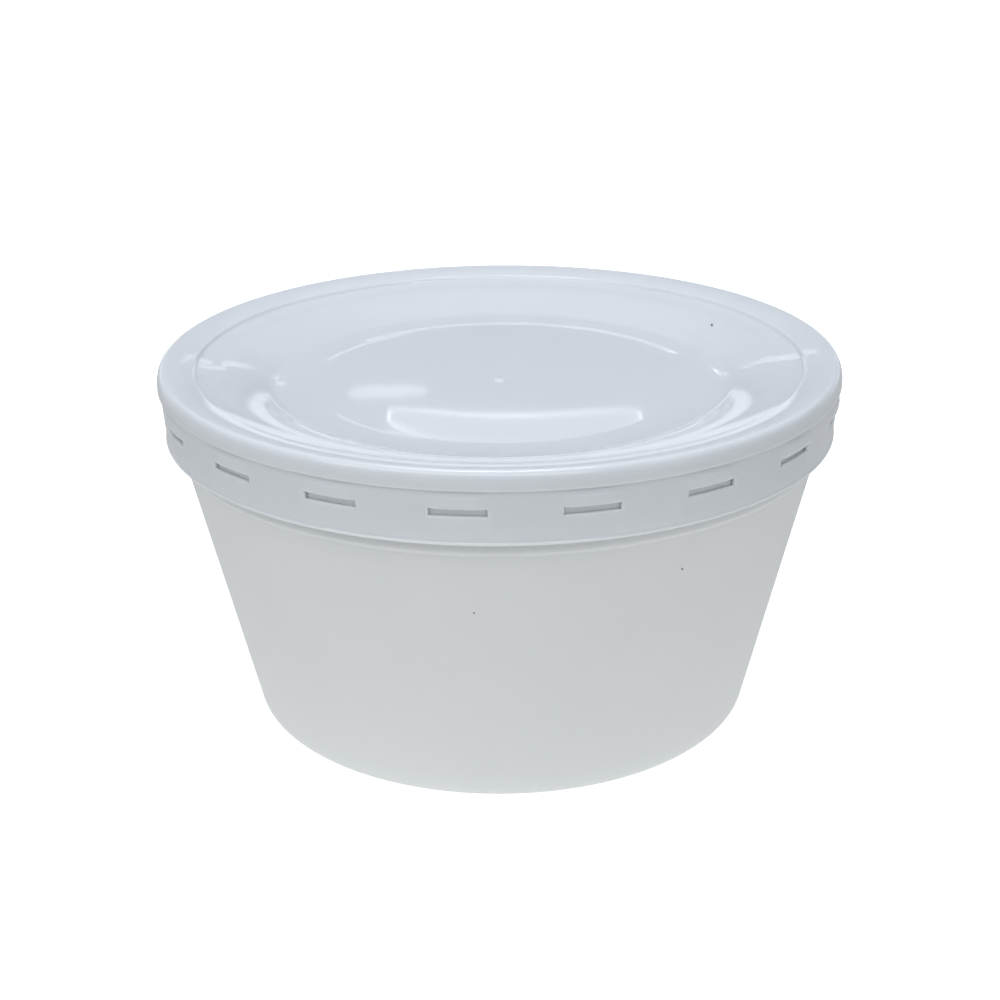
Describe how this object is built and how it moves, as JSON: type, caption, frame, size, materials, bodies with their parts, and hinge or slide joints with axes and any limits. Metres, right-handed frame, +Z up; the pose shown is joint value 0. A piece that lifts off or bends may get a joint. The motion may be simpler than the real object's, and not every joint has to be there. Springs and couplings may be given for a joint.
{
  "type": "round takeaway soup container with press-on lid",
  "caption": "Thin-walled milky plastic soup bowl with a flared side, foot ring and rolled rim, shut by a press-on lid with a sunk panel, raised ring and slotted skirt.",
  "frame": {"origin": "centre of the foot ring, on the surface that the container stands on", "axes": "+Z up along the axis of the container; -Y faces the picture's camera, +X is to its right"},
  "size_m": [0.1396, 0.1396, 0.075],
  "materials": {
    "cup_plastic": "milky translucent injection-moulded polypropylene, satin, with a very fine orange-peel texture",
    "lid_plastic": "cool milky translucent injection-moulded polypropylene, glossy, with soft flow waves"
  },
  "bodies": {
    "root": {"cup": "cup_plastic", "lid": "lid_plastic"}
  },
  "joints": []
}
